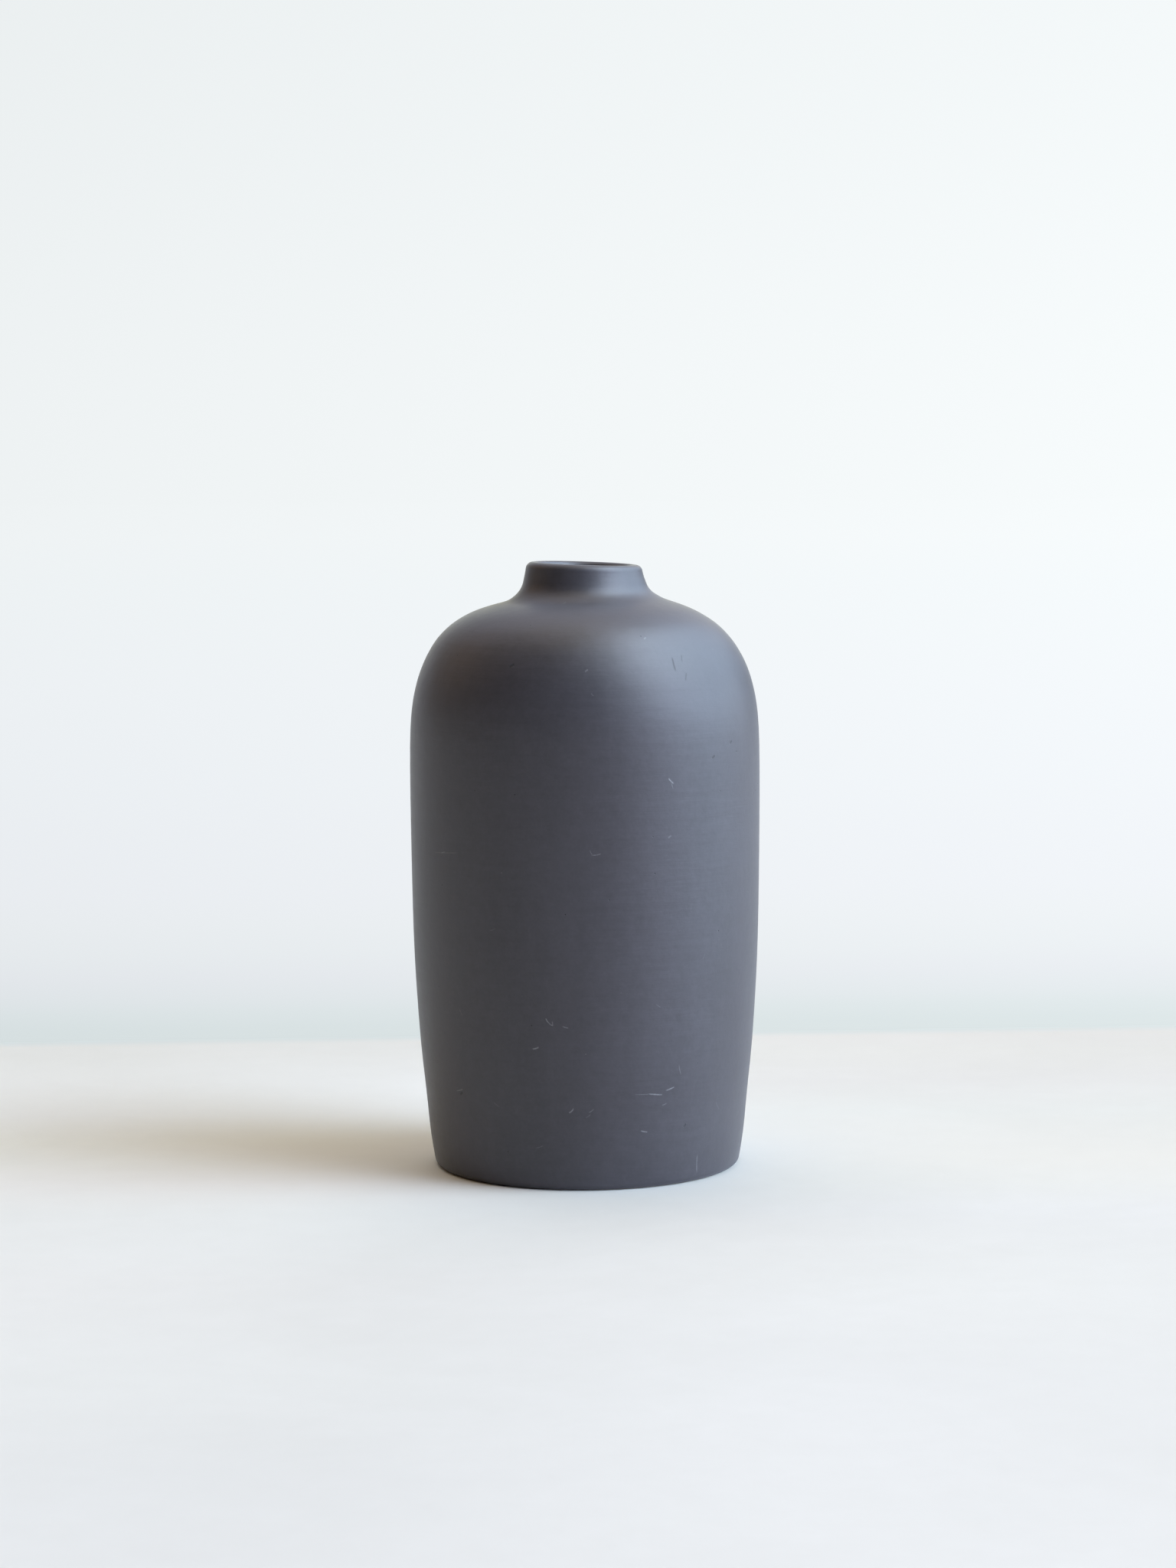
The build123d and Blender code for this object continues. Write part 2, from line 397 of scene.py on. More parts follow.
liner_face = [level_ring(r, FLOOR_IN) for r in (4.0, 12.0, 22.0, 32.0)]
liner_face += [level_ring(r - np.maximum(throwing_rings(z) + 0.15, 0) * 0.8, z) for r, z in hollow_curve(0.0, 150)]
liner_face += [level_ring(MOUTH_R, z) for z in (240.4, MOUTH_LINE)]
liner_back = [level_ring(MOUTH_R + LINER, z) for z in (MOUTH_LINE, 240.4)]
liner_back += [level_ring(r, z) for r, z in hollow_curve(LINER, 90)[::-1]]
liner_back += [level_ring(r, FLOOR_IN - LINER) for r in (32.0, 22.0, 12.0, 4.0)]
liner = face_out(make_mesh("liner_glaze_coat", liner_face + liner_back, start_pole=(0, 0, FLOOR_IN),
                           end_pole=(0, 0, FLOOR_IN - LINER)))

# The wiped coat on the roof of the recess, with an uneven edge.
edge = RECESS_R - 5.6 + 0.35 * np.sin(3 * PHI + 0.4) + 0.22 * np.sin(7 * PHI + 2.0) + 0.12 * np.sin(17 * PHI)
low = RECESS_DEPTH - 0.25
base_rings = [level_ring(r, low) for r in (2.0, 10.0, 20.0, 30.0, 38.0, 43.0)]
base_rings += [level_ring(edge - 1.6, low), level_ring(edge - 0.55, low + 0.02), level_ring(edge - 0.15, low + 0.09),
               level_ring(edge, low + 0.19), level_ring(edge, RECESS_DEPTH)]
base_rings += [level_ring(r, RECESS_DEPTH) for r in (43.0, 30.0, 16.0, 4.0)]
base = face_out(make_mesh("base_glaze_coat", base_rings, start_pole=(0, 0, low), end_pole=(0, 0, RECESS_DEPTH)))

for piece, node, slot in ((outer_glaze, "outer_glaze", "satin_charcoal_glaze"),
                          (stoneware, "stoneware_body", "bare_stoneware"),
                          (liner, "liner_glaze", "gloss_liner_glaze"),
                          (base, "base_glaze", "satin_charcoal_glaze")):
    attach(piece, "root")
    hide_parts(node)
crease_by_angle(outer_glaze, 50)
crease_by_angle(liner, 50)


# ------------------------------------------------------------------------------------------------
# Materials
def new_material(name):
    m = bpy.data.materials.new(name)
    m.use_nodes = True
    nt = m.node_tree
    nt.nodes.clear()
    out = nt.nodes.new("ShaderNodeOutputMaterial")
    p = nt.nodes.new("ShaderNodeBsdfPrincipled")
    nt.links.new(p.outputs[0], out.inputs["Surface"])
    return m, nt, p


class Tree:
    """Short names for the nodes that the materials use."""

    def __init__(self, nt):
        self.nt = nt
        self.n = 0

    def node(self, kind, **props):
        x = self.nt.nodes.new(kind)
        for k, v in props.items():
            setattr(x, k, v)
        return x

    def put(self, socket, value):
        if isinstance(value, bpy.types.NodeSocket):
            self.nt.links.new(value, socket)
        else:
            socket.default_value = value

    def math(self, op, a, b=0.0, c=0.0, clamp=False):
        x = self.node("ShaderNodeMath", operation=op, use_clamp=clamp)
        self.put(x.inputs[0], a)
        self.put(x.inputs[1], b)
        if len(x.inputs) > 2:
            self.put(x.inputs[2], c)
        return x.outputs[0]

    def coords(self):
        return self.node("ShaderNodeTexCoord").outputs["Object"]

    def uv(self):
        return self.node("ShaderNodeUVMap", uv_map="UVMap").outputs[0]

    def mapping(self, vec, loc=(0, 0, 0), rot=(0, 0, 0), scale=(1, 1, 1), kind="POINT"):
        x = self.node("ShaderNodeMapping", vector_type=kind)
        self.put(x.inputs["Vector"], vec)
        self.put(x.inputs["Location"], loc)
        self.put(x.inputs["Rotation"], rot)
        self.put(x.inputs["Scale"], scale)
        return x.outputs[0]

    def noise(self, vec, scale, detail=2.0, rough=0.5, distortion=0.0):
        x = self.node("ShaderNodeTexNoise")
        self.put(x.inputs["Vector"], vec)
        self.put(x.inputs["Scale"], scale)
        self.put(x.inputs["Detail"], detail)
        self.put(x.inputs["Roughness"], rough)
        self.put(x.inputs["Distortion"], distortion)
        return x.outputs["Fac"]

    def voronoi(self, vec, scale, randomness=1.0, out="Distance"):
        x = self.node("ShaderNodeTexVoronoi")
        self.put(x.inputs["Vector"], vec)
        self.put(x.inputs["Scale"], scale)
        self.put(x.inputs["Randomness"], randomness)
        return x.outputs[out]

    def remap(self, v, a, b, c, d, smooth=False):
        x = self.node("ShaderNodeMapRange", clamp=True)
        if smooth:
            x.interpolation_type = "SMOOTHSTEP"
        self.put(x.inputs[0], v)
        for i, q in enumerate((a, b, c, d)):
            self.put(x.inputs[1 + i], q)
        return x.outputs[0]

    def mix(self, f, a, b):
        x = self.node("ShaderNodeMix", data_type="RGBA")
        self.put(x.inputs[0], f)
        self.put(x.inputs[6], a)
        self.put(x.inputs[7], b)
        return x.outputs[2]

    def ramp(self, v, stops):
        """Colours between (place, colour) stops, in straight steps."""
        x = self.node("ShaderNodeValToRGB")
        els = x.color_ramp.elements
        while len(els) < len(stops):
            els.new(0.5)
        for e, (place, _) in zip(els, stops):
            e.position = place
        for e, (_, colour) in zip(els, stops):
            e.color = colour
        self.put(x.inputs[0], v)
        return x.outputs[0]

    def bump(self, height, strength, distance, normal=None):
        x = self.node("ShaderNodeBump")
        self.put(x.inputs["Strength"], strength)
        self.put(x.inputs["Distance"], distance)
        self.put(x.inputs["Height"], height)
        if normal is not None:
            self.put(x.inputs["Normal"], normal)
        return x.outputs[0]


def rgba(r, g, b):
    return (r, g, b, 1.0)


def display(r, g, b):
    """A colour given as it shows on a screen, 0 to 255 each."""
    return tuple(v / 255 / 12.92 if v <= 10.3 else ((v / 255 + 0.055) / 1.055) ** 2.4 for v in (r, g, b)) + (1.0,)


# Marks on the coat. A line runs from one (azimuth, height) to another, in degrees from +X and mm; then come
# its width and its bend in mm, and how strong it is.
FRONT_LINES = [
    (256.66, 71.15, 257.78, 69.17, 0.75, 0.25, 0.85), (257.78, 69.17, 259.04, 68.27, 0.70, 0.20, 0.70),
    (259.04, 68.27, 258.94, 69.99, 0.65, 0.10, 0.60), (262.32, 68.05, 264.07, 67.45, 0.70, 0.10, 0.60),
    (252.09, 58.44, 254.09, 59.18, 0.95, 0.20, 0.95), (291.40, 39.48, 296.58, 38.67, 0.85, 0.05, 1.00),
    (286.44, 39.62, 291.96, 39.38, 0.60, 0.05, 0.40), (297.98, 40.27, 301.11, 41.34, 0.85, 0.10, 1.00),
    (296.77, 34.28, 298.39, 34.89, 0.70, 0.10, 0.45), (264.12, 32.57, 265.58, 34.33, 0.85, 0.30, 0.95),
    (270.80, 32.74, 272.37, 34.09, 0.70, 0.20, 0.50), (269.74, 30.70, 271.32, 31.95, 0.60, 0.20, 0.30),
    (289.03, 24.37, 291.46, 23.70, 0.85, 0.10, 0.85), (313.30, 11.61, 314.12, 3.72, 1.30, 0.30, 0.42),
    (302.50, 50.34, 303.48, 46.28, 0.65, 0.20, 0.40), (271.95, 136.83, 274.97, 137.39, 0.70, 0.25, 0.55),
    (271.36, 138.91, 272.32, 136.91, 0.60, 0.20, 0.35), (211.98, 134.63, 224.87, 135.82, 0.60, 0.10, 0.30),
    (215.94, 134.87, 218.34, 135.51, 0.75, 0.10, 0.50), (297.33, 166.60, 299.12, 164.47, 0.85, 0.15, 0.90),
    (298.43, 164.70, 298.97, 162.52, 0.60, 0.10, 0.40), (218.64, 37.42, 222.16, 38.62, 0.75, 0.10, 0.50),
    (223.32, 72.04, 224.66, 69.39, 0.60, 0.20, 0.25), (237.77, 105.48, 239.82, 106.58, 0.60, 0.20, 0.22),
    (293.30, 76.03, 294.97, 74.64, 0.60, 0.10, 0.30), (251.80, 17.50, 254.36, 18.61, 0.60, 0.20, 0.30),
    (321.49, 31.96, 323.74, 28.68, 0.60, 0.20, 0.28), (311.17, 92.52, 312.15, 94.58, 0.55, 0.20, 0.22),
    (272.23, 201.00, 272.97, 200.09, 0.70, 0.10, 0.30), (236.26, 35.14, 238.35, 33.46, 0.60, 0.20, 0.25),
]
# A dot: azimuth, height, diameter in mm, strength.
FRONT_LIGHT_DOTS = [(294.71, 222.04, 1.3, 0.55), (270.78, 209.89, 1.2, 0.5), (255.48, 235.27, 1.8, 0.40),
                    (297.73, 143.3, 1.2, 0.35)]
FRONT_DARK_DOTS = [(243.86, 211.42, 1.9, 0.9), (315.44, 173.84, 1.4, 0.7), (324.6, 179.05, 1.4, 0.7),
                   (306.39, 24.78, 1.3, 0.6), (221.34, 36.9, 1.6, 0.6)]
FRONT_DARK_LINES = [(307.71, 215.06, 307.03, 212.41, 0.90, 0.10, 0.55), (303.16, 214.37, 303.03, 208.71, 1.30, 0.20, 0.62),
                    (307.38, 207.89, 306.37, 204.94, 1.10, 0.10, 0.50)]
scuff_rng = np.random.default_rng(SEED + 21)

girth_m = 2 * math.pi * 0.072


def chain_v(z):
    """How far up the outer coat's chain a height lies, in metres, as make_mesh lays out v."""
    zz = np.array([r[:, 2].mean() for r in shown])
    arc = np.concatenate([[0], np.cumsum([float(np.linalg.norm((b - a)[::30], axis=1).mean()) * MM
                                          for a, b in zip(shown, shown[1:])])])
    top = int(np.argmax(zz))
    return float(np.interp(z, zz[:top], arc[:top]))


def line_mark(az0, z0, az1, z1, width, bend, power):
    """(u, v, half length, width, angle, bend, strength) of a line, in metres and radians on the UV map."""
    u0, v0, u1, v1 = az0 / 360 * girth_m, chain_v(z0), az1 / 360 * girth_m, chain_v(z1)
    return ((u0 + u1) / 2, (v0 + v1) / 2, math.hypot(u1 - u0, v1 - v0) / 2 + 0.0002, width * MM,
            math.atan2(v1 - v0, u1 - u0), bend * MM, power)


def dot_mark(az, z, size, power):
    return (az / 360 * girth_m, chain_v(z), size * MM * 0.75, size * MM, 0.6, 0.0, power)


def mark_mask(t, uv, marks):
    """The strongest of a set of short marks, each a thin bent line on the UV map."""
    sep = t.node("ShaderNodeSeparateXYZ")
    t.put(sep.inputs[0], uv)
    u, v = sep.outputs[0], sep.outputs[1]
    total = None
    for u0, v0, half, width, angle, bend, power in marks:
        c, s = math.cos(angle), math.sin(angle)
        xx = t.math("MULTIPLY_ADD", v, s / half, t.math("MULTIPLY_ADD", u, c / half, -(u0 * c + v0 * s) / half))
        x2 = t.math("MULTIPLY", xx, xx)
        off = t.math("MULTIPLY_ADD", v, c, t.math("MULTIPLY_ADD", u, -s, u0 * s - v0 * c))
        off = t.math("ABSOLUTE", t.math("MULTIPLY_ADD", x2, -bend, off))
        across = t.remap(off, 0.0, width * 0.5, power, 0.0, smooth=True)
        one = t.math("MULTIPLY", t.remap(x2, 0.35, 1.0, 1.0, 0.0), across)
        total = one if total is None else t.math("MAXIMUM", total, one)
    return total


def light_marks():
    """Where handling has marked the coat: a few on each side, most of them low on the wall."""
    marks = [line_mark(*m) for m in FRONT_LINES] + [dot_mark(*m) for m in FRONT_LIGHT_DOTS]
    for _ in range(15):
        az = scuff_rng.uniform(20, 170) if scuff_rng.random() < 0.85 else scuff_rng.uniform(345, 358)
        z = 8 + 190 * scuff_rng.random() ** 1.7
        length, lean = scuff_rng.uniform(1.2, 5.0), scuff_rng.uniform(-1.3, 1.3)
        marks.append((az / 360 * girth_m, chain_v(z), length * MM / 2, scuff_rng.uniform(0.55, 0.85) * MM, lean,
                      scuff_rng.uniform(0.05, 0.3) * MM, scuff_rng.uniform(0.25, 0.85)))
    return marks


def dark_marks():
    """Pinholes in the coat, and faint rubbed streaks on the shoulder."""
    marks = [dot_mark(*m) for m in FRONT_DARK_DOTS] + [line_mark(*m) for m in FRONT_DARK_LINES]
    for _ in range(4):
        marks.append(dot_mark(scuff_rng.uniform(5, 175), scuff_rng.uniform(15, 215), scuff_rng.uniform(1.1, 1.7),
                              scuff_rng.uniform(0.5, 0.9)))
    return marks


def satin_glaze(name, light=(), dark=()):
    m, nt, p = new_material(name)
    t = Tree(nt)
    co = t.coords()
    # broad, faint drifts of colour, as the coat is a little thicker in places
    broad = t.noise(co, 16, 3, 0.55, 0.4)
    streak = t.noise(t.mapping(co, scale=(1, 1, 0.22)), 60, 3, 0.6)
    turned = t.noise(t.mapping(co, scale=(1, 1, 10)), 42, 4, 0.62, 0.25)
    mottle = t.noise(co, 240, 5, 0.68, 0.2)
    fine = t.noise(co, 900, 2, 0.5)
    base = t.mix(t.remap(broad, 0.3, 0.7, 0, 1), rgba(0.0470, 0.0420, 0.0500), rgba(0.0530, 0.0485, 0.0575))
    base = t.mix(t.remap(fine, 0.25, 0.75, 0, 0.45), base, rgba(0.0624, 0.0564, 0.06615))
    tone = t.math("MULTIPLY_ADD", mottle, 0.42, 1.0 - 0.5 * 0.42)
    tone = t.math("MULTIPLY_ADD", streak, 0.26, t.math("SUBTRACT", tone, 0.5 * 0.26))
    tone = t.math("MULTIPLY_ADD", turned, 0.22, t.math("SUBTRACT", tone, 0.5 * 0.22))
    shade = t.node("ShaderNodeVectorMath", operation="SCALE")
    t.put(shade.inputs[0], base)
    t.put(shade.inputs["Scale"], tone)
    base = shade.outputs[0]
    # sparse specks: iron bits a shade lighter, and pinholes that are dark
    cell = t.voronoi(co, 210)
    keep = t.voronoi(co, 210, out="Color")
    sep = t.node("ShaderNodeSeparateColor")
    t.put(sep.inputs[0], keep)
    specks = t.math("MULTIPLY", t.remap(cell, 0.020, 0.060, 1, 0, True), t.remap(sep.outputs[0], 0.90, 0.915, 0, 1))
    pits = t.math("MULTIPLY", t.remap(cell, 0.030, 0.080, 1, 0, True), t.remap(sep.outputs[1], 0.93, 0.94, 0, 1))
    if dark:
        pits = t.math("MAXIMUM", pits, mark_mask(t, t.uv(), dark))
    base = t.mix(t.math("MULTIPLY", specks, 0.55), base, rgba(0.20, 0.19, 0.185))
    base = t.mix(t.math("MULTIPLY", pits, 0.85), base, rgba(0.010, 0.009, 0.010))
    rough = t.math("ADD", t.remap(broad, 0.25, 0.75, 0.455, 0.485), t.remap(mottle, 0.3, 0.7, -0.022, 0.022))
    rough = t.math("ADD", rough, t.remap(turned, 0.3, 0.7, -0.018, 0.018))
    rough = t.math("ADD", rough, t.math("MULTIPLY", pits, 0.25))
    if light:
        grain = t.noise(co, 1500, 2, 0.6)
        scuffs = t.math("MULTIPLY", mark_mask(t, t.uv(), light), t.remap(grain, 0.30, 0.55, 0.45, 1.0))
        base = t.mix(t.math("MULTIPLY", scuffs, 0.58), base, rgba(0.33, 0.33, 0.34))
        rough = t.math("ADD", rough, t.math("MULTIPLY", scuffs, 0.12))
    t.put(p.inputs["Base Color"], base)
    t.put(p.inputs["Roughness"], rough)
    p.inputs["Sheen Weight"].default_value = 0.12
    p.inputs["Sheen Roughness"].default_value = 0.4
    p.inputs["Sheen Tint"].default_value = (0.8, 0.9, 1.0, 1.0)
    p.inputs["IOR"].default_value = 1.5
    # the surface: a soft orange peel, faint turning lines, a finer matt grain, and the pits of the pinholes
    peel = t.noise(co, 170, 2, 0.5)
    grit = t.noise(co, 1500, 2, 0.6)
    nrm = t.bump(peel, 0.5, 0.00016)
    nrm = t.bump(turned, 0.5, 0.00014, nrm)
    nrm = t.bump(grit, 0.35, 0.00003, nrm)
    nrm = t.bump(t.math("MULTIPLY", pits, -1.0), 0.8, 0.0001, nrm)
    t.put(p.inputs["Normal"], nrm)
    return m


def gloss_liner(name):
    m, nt, p = new_material(name)
    t = Tree(nt)
    co = t.coords()
    pool = t.noise(co, 42, 3, 0.55, 0.5)
    fine = t.noise(co, 620, 2, 0.5)
    base = t.mix(t.remap(pool, 0.3, 0.7, 0, 1), rgba(0.020, 0.020, 0.023), rgba(0.034, 0.033, 0.037))
    base = t.mix(t.remap(fine, 0.3, 0.75, 0, 0.3), base, rgba(0.045, 0.044, 0.048))
    t.put(p.inputs["Base Color"], base)
    t.put(p.inputs["Roughness"], t.remap(pool, 0.3, 0.7, 0.10, 0.18))
    p.inputs["IOR"].default_value = 1.52
    waves = t.noise(t.mapping(co, scale=(1, 1, 2.4)), 95, 2, 0.5, 0.3)
    nrm = t.bump(waves, 0.5, 0.0006)
    nrm = t.bump(fine, 0.2, 0.00002, nrm)
    t.put(p.inputs["Normal"], nrm)
    return m


def bare_clay(name):
    m, nt, p = new_material(name)
    t = Tree(nt)
    co = t.coords()
    broad = t.noise(co, 30, 4, 0.6, 0.6)
    grog = t.noise(co, 1300, 3, 0.7)
    base = t.mix(t.remap(broad, 0.3, 0.7, 0, 1), rgba(0.155, 0.125, 0.105), rgba(0.215, 0.180, 0.150))
    base = t.mix(t.remap(grog, 0.45, 0.75, 0, 0.5), base, rgba(0.30, 0.26, 0.22))
    cell = t.voronoi(co, 420)
    sep = t.node("ShaderNodeSeparateColor")
    t.put(sep.inputs[0], t.voronoi(co, 420, out="Color"))
    speck = t.math("MULTIPLY", t.remap(cell, 0.08, 0.2, 1, 0, True), t.remap(sep.outputs[0], 0.8, 0.83, 0, 1))
    base = t.mix(t.math("MULTIPLY", speck, 0.7), base, rgba(0.05, 0.035, 0.028))
    # turning lines under the foot
    s = t.node("ShaderNodeSeparateXYZ")
    t.put(s.inputs[0], co)
    rr = t.math("SQRT", t.math("ADD", t.math("MULTIPLY", s.outputs[0], s.outputs[0]), t.math("MULTIPLY", s.outputs[1], s.outputs[1])))
    lines = t.math("SINE", t.math("ADD", t.math("MULTIPLY", rr, 2 * math.pi / 0.0011), t.math("MULTIPLY", broad, 9.0)))
    t.put(p.inputs["Base Color"], base)
    t.put(p.inputs["Roughness"], t.remap(grog, 0.3, 0.7, 0.78, 0.9))
    nrm = t.bump(lines, 0.35, 0.00006)
    nrm = t.bump(grog, 0.6, 0.00012, nrm)
    t.put(p.inputs["Normal"], nrm)
    return m


outer_glaze.data.materials.append(satin_glaze("satin_charcoal_glaze", light_marks(), dark_marks()))
base.data.materials.append(satin_glaze("satin_charcoal_glaze_base"))
liner.data.materials.append(gloss_liner("gloss_liner_glaze"))
stoneware.data.materials.append(bare_clay("bare_stoneware"))

# ------------------------------------------------------------------------------------------------
# Camera
CAM_X, CAM_D, CAM_Z = 1.27, 1529.2, 305.4
PITCH, ROLL = math.radians(5.488), math.radians(0.347)
cam_data = bpy.data.cameras.new("camera")
cam_data.lens = 85.0
cam_data.sensor_width = 36.0
cam_data.sensor_fit = "AUTO"
cam_data.clip_start, cam_data.clip_end = 0.01, 60.0
cam = bpy.data.objects.new("camera", cam_data)
fwd = Vector((0, math.cos(PITCH), -math.sin(PITCH)))
up0 = Vector((0, math.sin(PITCH), math.cos(PITCH)))
right0 = Vector((1, 0, 0))
right = right0 * math.cos(ROLL) - up0 * math.sin(ROLL)
up = right0 * math.sin(ROLL) + up0 * math.cos(ROLL)
rot = Matrix((right, up, -fwd)).transposed().to_4x4()
cam.matrix_world = Matrix.Translation(Vector((CAM_X, -CAM_D, CAM_Z)) * MM) @ rot
bpy.context.scene.collection.objects.link(cam)
bpy.context.scene.camera = cam

# ------------------------------------------------------------------------------------------------
# Stage: a pale floor that turns into a pale backdrop behind the vase
floor_mesh = bpy.data.meshes.new("floor")
F0 = 14.0
floor_mesh.from_pydata([(-F0, -F0, 0), (F0, -F0, 0), (F0, F0, 0), (-F0, F0, 0)], [], [(0, 1, 2, 3)])
floor = bpy.data.objects.new("floor", floor_mesh)
bpy.context.scene.collection.objects.link(floor)
m, nt, p = new_material("pale_floor")
t = Tree(nt)
co = t.coords()
smudge = t.noise(co, 4.5, 5, 0.6, 0.5)
grain = t.noise(co, 60, 3, 0.6)
col = t.mix(t.remap(smudge, 0.3, 0.7, 0, 1), rgba(0.80, 0.795, 0.78), rgba(0.845, 0.84, 0.83))
col = t.mix(t.remap(grain, 0.3, 0.75, 0, 0.2), col, rgba(0.76, 0.755, 0.74))
# painted light and shade: the floor's colour is tinted lighter, darker, warmer and cooler from the front to the back
# and from left to right, to set the tone of its light and of the vase's shadow on it
deep = t.node("ShaderNodeSeparateXYZ")
t.put(deep.inputs[0], co)
near = t.math("MULTIPLY_ADD", deep.outputs[1], 1.25, 0.6)
LEFT_PAINTED_LIGHT = [(-0.47, (0.94, 0.94, 0.94)), (-0.36, (0.96, 0.96, 0.95)), (-0.22, (0.965, 0.955, 0.945)),
        (-0.10, (0.97, 0.98, 0.97)), (-0.045, (1.03, 1.03, 1.02)), (0.0, (1.035, 1.05, 1.02)),
        (0.045, (1.05, 1.065, 1.02)), (0.11, (1.04, 1.05, 1.05)), (0.19, (0.99, 0.99, 0.98)),
        (0.27, (0.915, 0.905, 0.875)), (0.31, (0.90, 0.89, 0.86))]
RIGHT_PAINTED_LIGHT = [(-0.47, (0.99, 0.99, 0.99)), (-0.36, (1.0, 1.0, 1.0)), (-0.22, (1.01, 1.01, 1.0)),
         (-0.10, (1.02, 1.01, 1.0)), (-0.045, (1.025, 1.01, 0.97)), (0.0, (1.02, 1.0, 0.955)),
         (0.045, (0.99, 0.98, 0.945)), (0.11, (0.96, 0.965, 0.94)), (0.19, (0.945, 0.93, 0.91)),
         (0.27, (0.955, 0.94, 0.905)), (0.31, (0.95, 0.93, 0.90))]
left_painted_light = t.ramp(near, [(d * 1.25 + 0.6, (r * 0.9, g * 0.9, b * 0.9, 1.0)) for d, (r, g, b) in LEFT_PAINTED_LIGHT])
right_painted_light = t.ramp(near, [(d * 1.25 + 0.6, (r * 0.9, g * 0.9, b * 0.9, 1.0)) for d, (r, g, b) in RIGHT_PAINTED_LIGHT])
painted_light_drift = t.mix(t.remap(deep.outputs[0], -0.10, 0.10, 0, 1, True), left_painted_light, right_painted_light)
# the floor's colour times the painted light and shade
floor_painted_light = t.node("ShaderNodeVectorMath", operation="MULTIPLY")
t.put(floor_painted_light.inputs[0], col)
t.put(floor_painted_light.inputs[1], painted_light_drift)
whole = t.node("ShaderNodeVectorMath", operation="MULTIPLY")
t.put(whole.inputs[0], floor_painted_light.outputs[0])
whole.inputs[1].default_value = (1.05 / 0.9, 1.06 / 0.9, 1.042 / 0.9)
t.put(p.inputs["Base Color"], whole.outputs[0])
p.inputs["Roughness"].default_value = 0.9
p.inputs["Specular IOR Level"].default_value = 0.0
t.put(p.inputs["Normal"], t.bump(grain, 0.15, 0.0004))
sep = t.node("ShaderNodeSeparateXYZ")
t.put(sep.inputs[0], co)
yy = t.math("MULTIPLY_ADD", sep.outputs[0], -0.053, sep.outputs[1])
back = t.remap(yy, 0.306, 0.328, 0, 1, True)
# the backdrop glows with painted light and shade: darker low down and to the left, lighter to the right
BACKDROP_PAINTED_LIGHT = [(0.31, (218, 227, 228)), (0.36, (219, 228, 229.5)), (0.41, (222.5, 230.5, 232.5)),
            (0.453, (226.5, 232.5, 235.5)), (0.54, (231, 235, 239)), (0.63, (233.5, 238, 241)),
            (0.77, (236, 240, 243)), (0.92, (237.5, 241, 245)), (1.3, (238.5, 242.2, 246)),
            (1.68, (239.5, 243.5, 247)), (2.8, (241, 245, 248)), (5.9, (242, 246.5, 248.5)),
            (9.0, (243.3, 247.3, 248.7)), (14.0, (243, 247, 248))]
span = math.log(14.0 / 0.3)
far = t.math("MULTIPLY_ADD", t.math("LOGARITHM", t.math("MAXIMUM", yy, 0.3), math.e), 1 / span, -math.log(0.3) / span)
tone = t.ramp(far, [(math.log(d / 0.3) / span, display(*c)) for d, c in BACKDROP_PAINTED_LIGHT])
# painted light: the backdrop is made lighter to the right and darker to the left
side = t.math("DIVIDE", sep.outputs[0], t.math("MAXIMUM", t.math("ADD", sep.outputs[1], 1.529), 0.5))
side = t.remap(side, -0.16, 0.16, 1 - 0.27 * 0.16, 1 + 0.27 * 0.16)
painted_backdrop_light = t.node("ShaderNodeVectorMath", operation="SCALE")
t.put(painted_backdrop_light.inputs[0], tone)
t.put(painted_backdrop_light.inputs["Scale"], side)
glow = t.node("ShaderNodeEmission")
t.put(glow.inputs["Color"], painted_backdrop_light.outputs[0])
glow.inputs["Strength"].default_value = 1.0
mixer = t.node("ShaderNodeMixShader")
t.put(mixer.inputs[0], back)
t.put(mixer.inputs[1], p.outputs[0])
t.put(mixer.inputs[2], glow.outputs[0])
out = [n for n in nt.nodes if n.type == "OUTPUT_MATERIAL"][0]
t.put(out.inputs["Surface"], mixer.outputs[0])
floor.data.materials.append(m)

# ------------------------------------------------------------------------------------------------
# Light: a bright room with a big soft window to the right of the vase, and a dim left side
scene = bpy.context.scene
world = bpy.data.worlds.new("room")
scene.world = world
world.use_nodes = True
wt = Tree(world.node_tree)
world.node_tree.nodes.clear()
w_out = wt.node("ShaderNodeOutputWorld")
sky = wt.node("ShaderNodeTexCoord").outputs["Generated"]

# soft patches of the room: (degrees to the right of the line to the camera, degrees up, half width, r, g, b)
ROOM = [
    (51, 8, 32, 2.076, 2.159, 3.076),
    (77, 8, 32, 5.027, 6.295, 8.033),
    (103, 8, 32, 1.891, 2.641, 3.45),
    (180, 8, 32, 1.804, 1.832, 1.351),
    (-154, 8, 32, 0.831, 0.875, 0.989),
    (68, 32, 34, 3.748, 4.559, 5.761),
    (158, 32, 34, 1.186, 1.082, 1.171),
    (-112, 32, 34, 0.814, 0.545, 0.312),
    (-154, 58, 40, 1.557, 1.568, 1.82),
    (0, 90, 40, 1.412, 1.012, 0.339),
    (50, 40, 16, 0.915, 0.968, 1.133),
    (62, 16, 16, 0.52, 0.706, 1.052),
    (62, 28, 16, 0.408, 0.553, 0.785),
    (62, 40, 16, 1.85, 2.083, 2.432),
    (74, 40, 16, 1.526, 1.763, 2.081),
    (86, 28, 16, 0.838, 1.135, 1.404),
    (86, 40, 16, 2.324, 2.677, 3.086),
    (98, 28, 16, 0.619, 0.862, 0.989),
    (98, 40, 16, 0.947, 1.141, 1.29),
    (86, 4, 16, 2.489, 2.996, 3.686),
    (98, 4, 16, 1.546, 1.912, 2.401),
    (110, 4, 16, 1.779, 2.101, 2.514),
    (122, 4, 16, 3.517, 3.944, 4.466),
]


def heading(azimuth, elevation):
    a, e = math.radians(azimuth), math.radians(elevation)
    return Vector((math.sin(a) * math.cos(e), -math.cos(a) * math.cos(e), math.sin(e)))


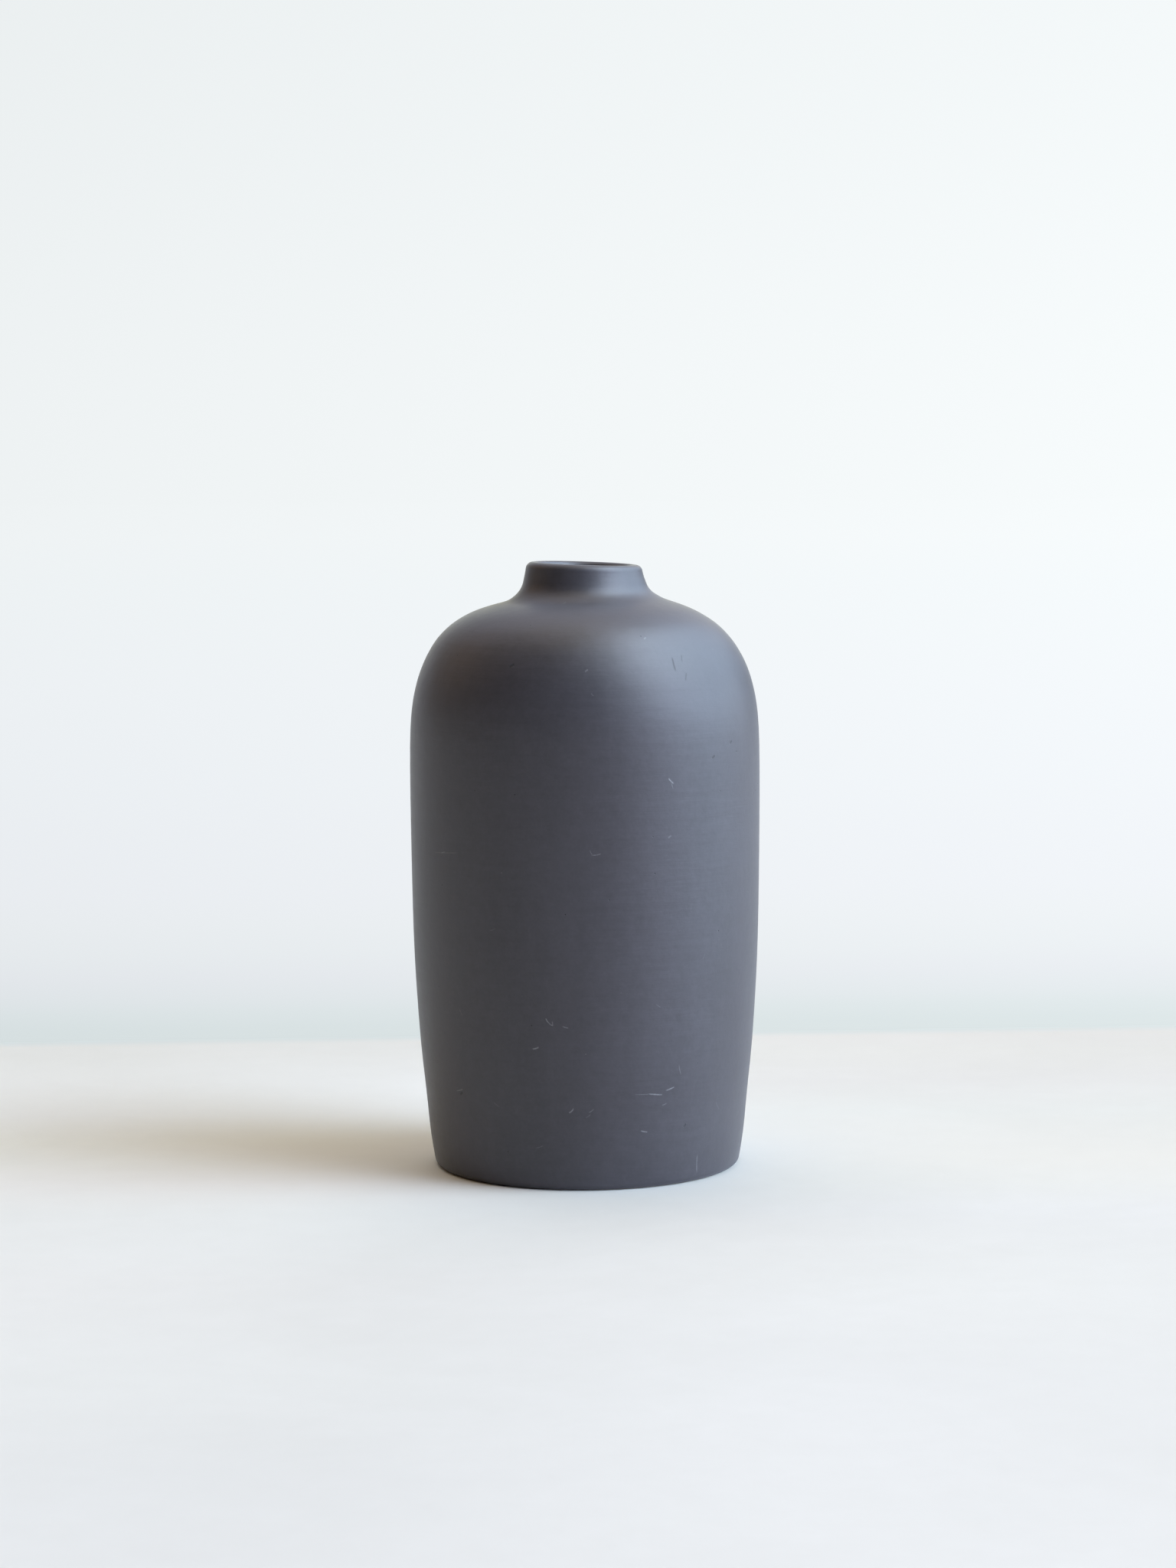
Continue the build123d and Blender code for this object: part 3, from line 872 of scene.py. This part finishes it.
total = None
for az, el, width, r, g, b in ROOM:
    dot = wt.node("ShaderNodeVectorMath", operation="DOT_PRODUCT")
    wt.put(dot.inputs[0], sky)
    dot.inputs[1].default_value = heading(az, el)
    fall = wt.remap(wt.math("ARCCOSINE", dot.outputs["Value"]), 0.0, math.radians(width), 1.0, 0.0, smooth=True)
    part = wt.node("ShaderNodeVectorMath", operation="SCALE")
    part.inputs[0].default_value = (r, g, b)
    wt.put(part.inputs["Scale"], fall)
    if total is None:
        total = part.outputs[0]
    else:
        add = wt.node("ShaderNodeVectorMath", operation="ADD")
        wt.put(add.inputs[0], total)
        wt.put(add.inputs[1], part.outputs[0])
        total = add.outputs[0]
s = wt.node("ShaderNodeSeparateXYZ")
wt.put(s.inputs[0], sky)
lp = wt.node("ShaderNodeLightPath")
# the backdrop that the camera sees: painted light, a little darker upward and lighter to the right
seen = wt.mix(wt.remap(s.outputs[2], 0.0, 0.12, 0, 1, True), display(242.7, 246.7, 247.7), display(240, 244.3, 245.3))
side = wt.math("DIVIDE", s.outputs[0], wt.math("MAXIMUM", s.outputs[1], 0.3))
side = wt.remap(side, -0.16, 0.16, 1 - 0.27 * 0.16, 1 + 0.27 * 0.16)
dim = wt.node("ShaderNodeVectorMath", operation="SCALE")
wt.put(dim.inputs[0], seen)
wt.put(dim.inputs["Scale"], side)
seen = dim.outputs[0]
colour = wt.mix(lp.outputs["Is Camera Ray"], total, seen)
bg = wt.node("ShaderNodeBackground")
wt.put(bg.inputs["Color"], colour)
bg.inputs["Strength"].default_value = 1.0
wt.put(w_out.inputs["Surface"], bg.outputs[0])

# round soft reflectors that only show in the glaze's sheen: the same columns
PANELS = [
    (50, 16, 16, 2.231, 2.613, 3.102),
    (50, 28, 16, 2.848, 3.406, 4.034),
    (50, 40, 16, 5.387, 6.284, 7.298),
    (50, 52, 16, 6.489, 7.517, 8.71),
    (62, 40, 16, 1.033, 1.513, 1.949),
    (62, 52, 16, 2.712, 3.371, 4.072),
    (74, 52, 16, 1.181, 1.689, 2.178),
    (86, 40, 16, 1.258, 1.775, 2.18),
    (86, 52, 16, 1.061, 1.554, 2.015),
    (98, 40, 16, 2.263, 2.855, 3.354),
    (98, 52, 16, 0.786, 1.23, 1.645),
    (98, 64, 16, 3.175, 3.881, 4.728),
    (110, 28, 16, 1.074, 1.417, 1.624),
    (110, 40, 16, 1.459, 1.909, 2.275),
    (110, 52, 16, 0.762, 1.175, 1.591),
    (110, 64, 16, 6.044, 7.06, 8.311),
    (122, 52, 16, 3.148, 3.795, 4.556),
    (86, 64, 16, 2.411, 3.033, 3.762),
    (74, 64, 16, 3.115, 3.805, 4.614),
    (62, 64, 16, 5.345, 6.257, 7.35),
    (128, 32, 34, 2.069, 2.758, 3.519),
]


def panel(name, azimuth, elevation, half_width, radiance, distance=3.0, target=(0, 0, 0.15)):
    """A disc lamp of even radiance that matches a soft patch of the given half width."""
    place = heading(azimuth, elevation) * distance + Vector(target)
    radius = distance * math.tan(math.radians(0.548 * half_width))
    top = max(radiance)
    data = bpy.data.lights.new(name, "AREA")
    data.shape = "DISK"
    data.size = 2 * radius
    data.energy = top * LAMP_FACTOR * math.pi * radius * radius
    data.color = tuple(v / top for v in radiance)
    ob = bpy.data.objects.new(name, data)
    ob.location = place
    ob.rotation_euler = (Vector(target) - place).to_track_quat("-Z", "Y").to_euler()
    ob.visible_camera = False
    ob.visible_diffuse = False
    scene.collection.objects.link(ob)
    return ob


LAMP_FACTOR = math.pi
for i, (az, el, width, r, g, b) in enumerate(PANELS):
    panel(f"sheen_{i:02d}", az, el, width, (r, g, b))

scene.view_settings.view_transform = "Standard"
scene.view_settings.look = "None"
scene.view_settings.exposure = 0.0
scene.view_settings.gamma = 1.0
